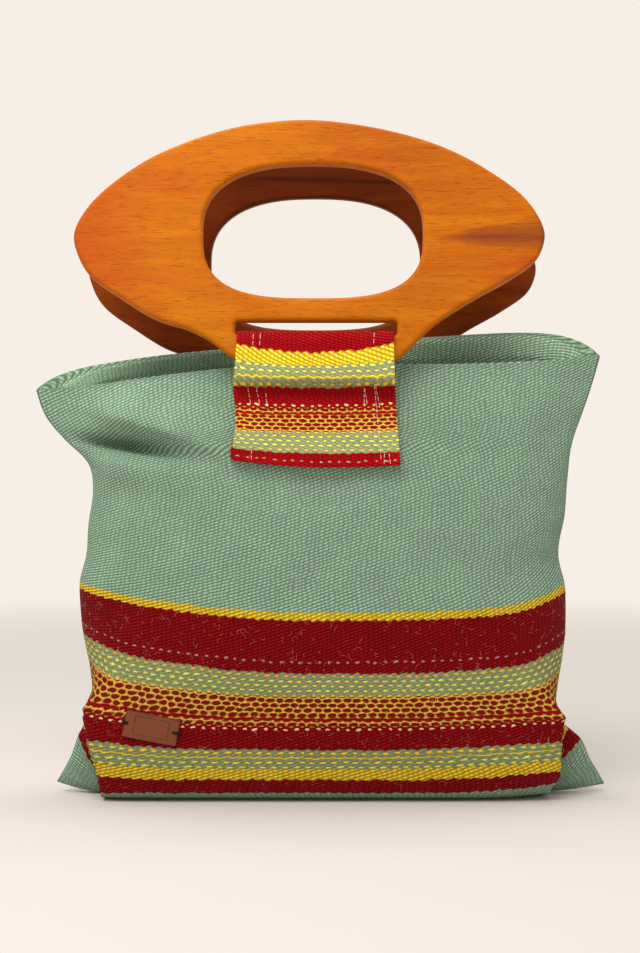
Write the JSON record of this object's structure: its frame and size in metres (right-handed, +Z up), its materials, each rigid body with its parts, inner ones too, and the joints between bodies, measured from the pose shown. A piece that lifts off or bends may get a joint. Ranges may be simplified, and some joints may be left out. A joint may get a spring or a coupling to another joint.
{
  "type": "cloth handbag with wooden handles",
  "caption": "Handwoven wool handbag with a striped lower border, open at the top, carried by flat wooden handles held in woven straps.",
  "frame": {"origin": "on the floor under the middle of the whole bag's box", "axes": "+Z up out of the mouth, +X along the width, to the right seen from the front, -Y out of the front face that carries the leather label"},
  "size_m": [0.3536, 0.095, 0.415],
  "materials": {
    "wool_cloth": "coarse green wool twill with a striped red, yellow and green border, matt and slightly hairy",
    "strap_cloth": "the border's striped red, yellow and green wool weave, matt",
    "handle_wood": "orange-brown hardwood, oiled to a satin, long level grain and fine pores",
    "label_leather": "smooth brown leather, bare",
    "thread": "sewing thread"
  },
  "bodies": {
    "root": {"cloth_body": "wool_cloth", "front_handle": "handle_wood", "back_handle": "handle_wood", "front_strap": "strap_cloth", "back_strap": "strap_cloth", "leather_label": "label_leather"}
  },
  "joints": []
}
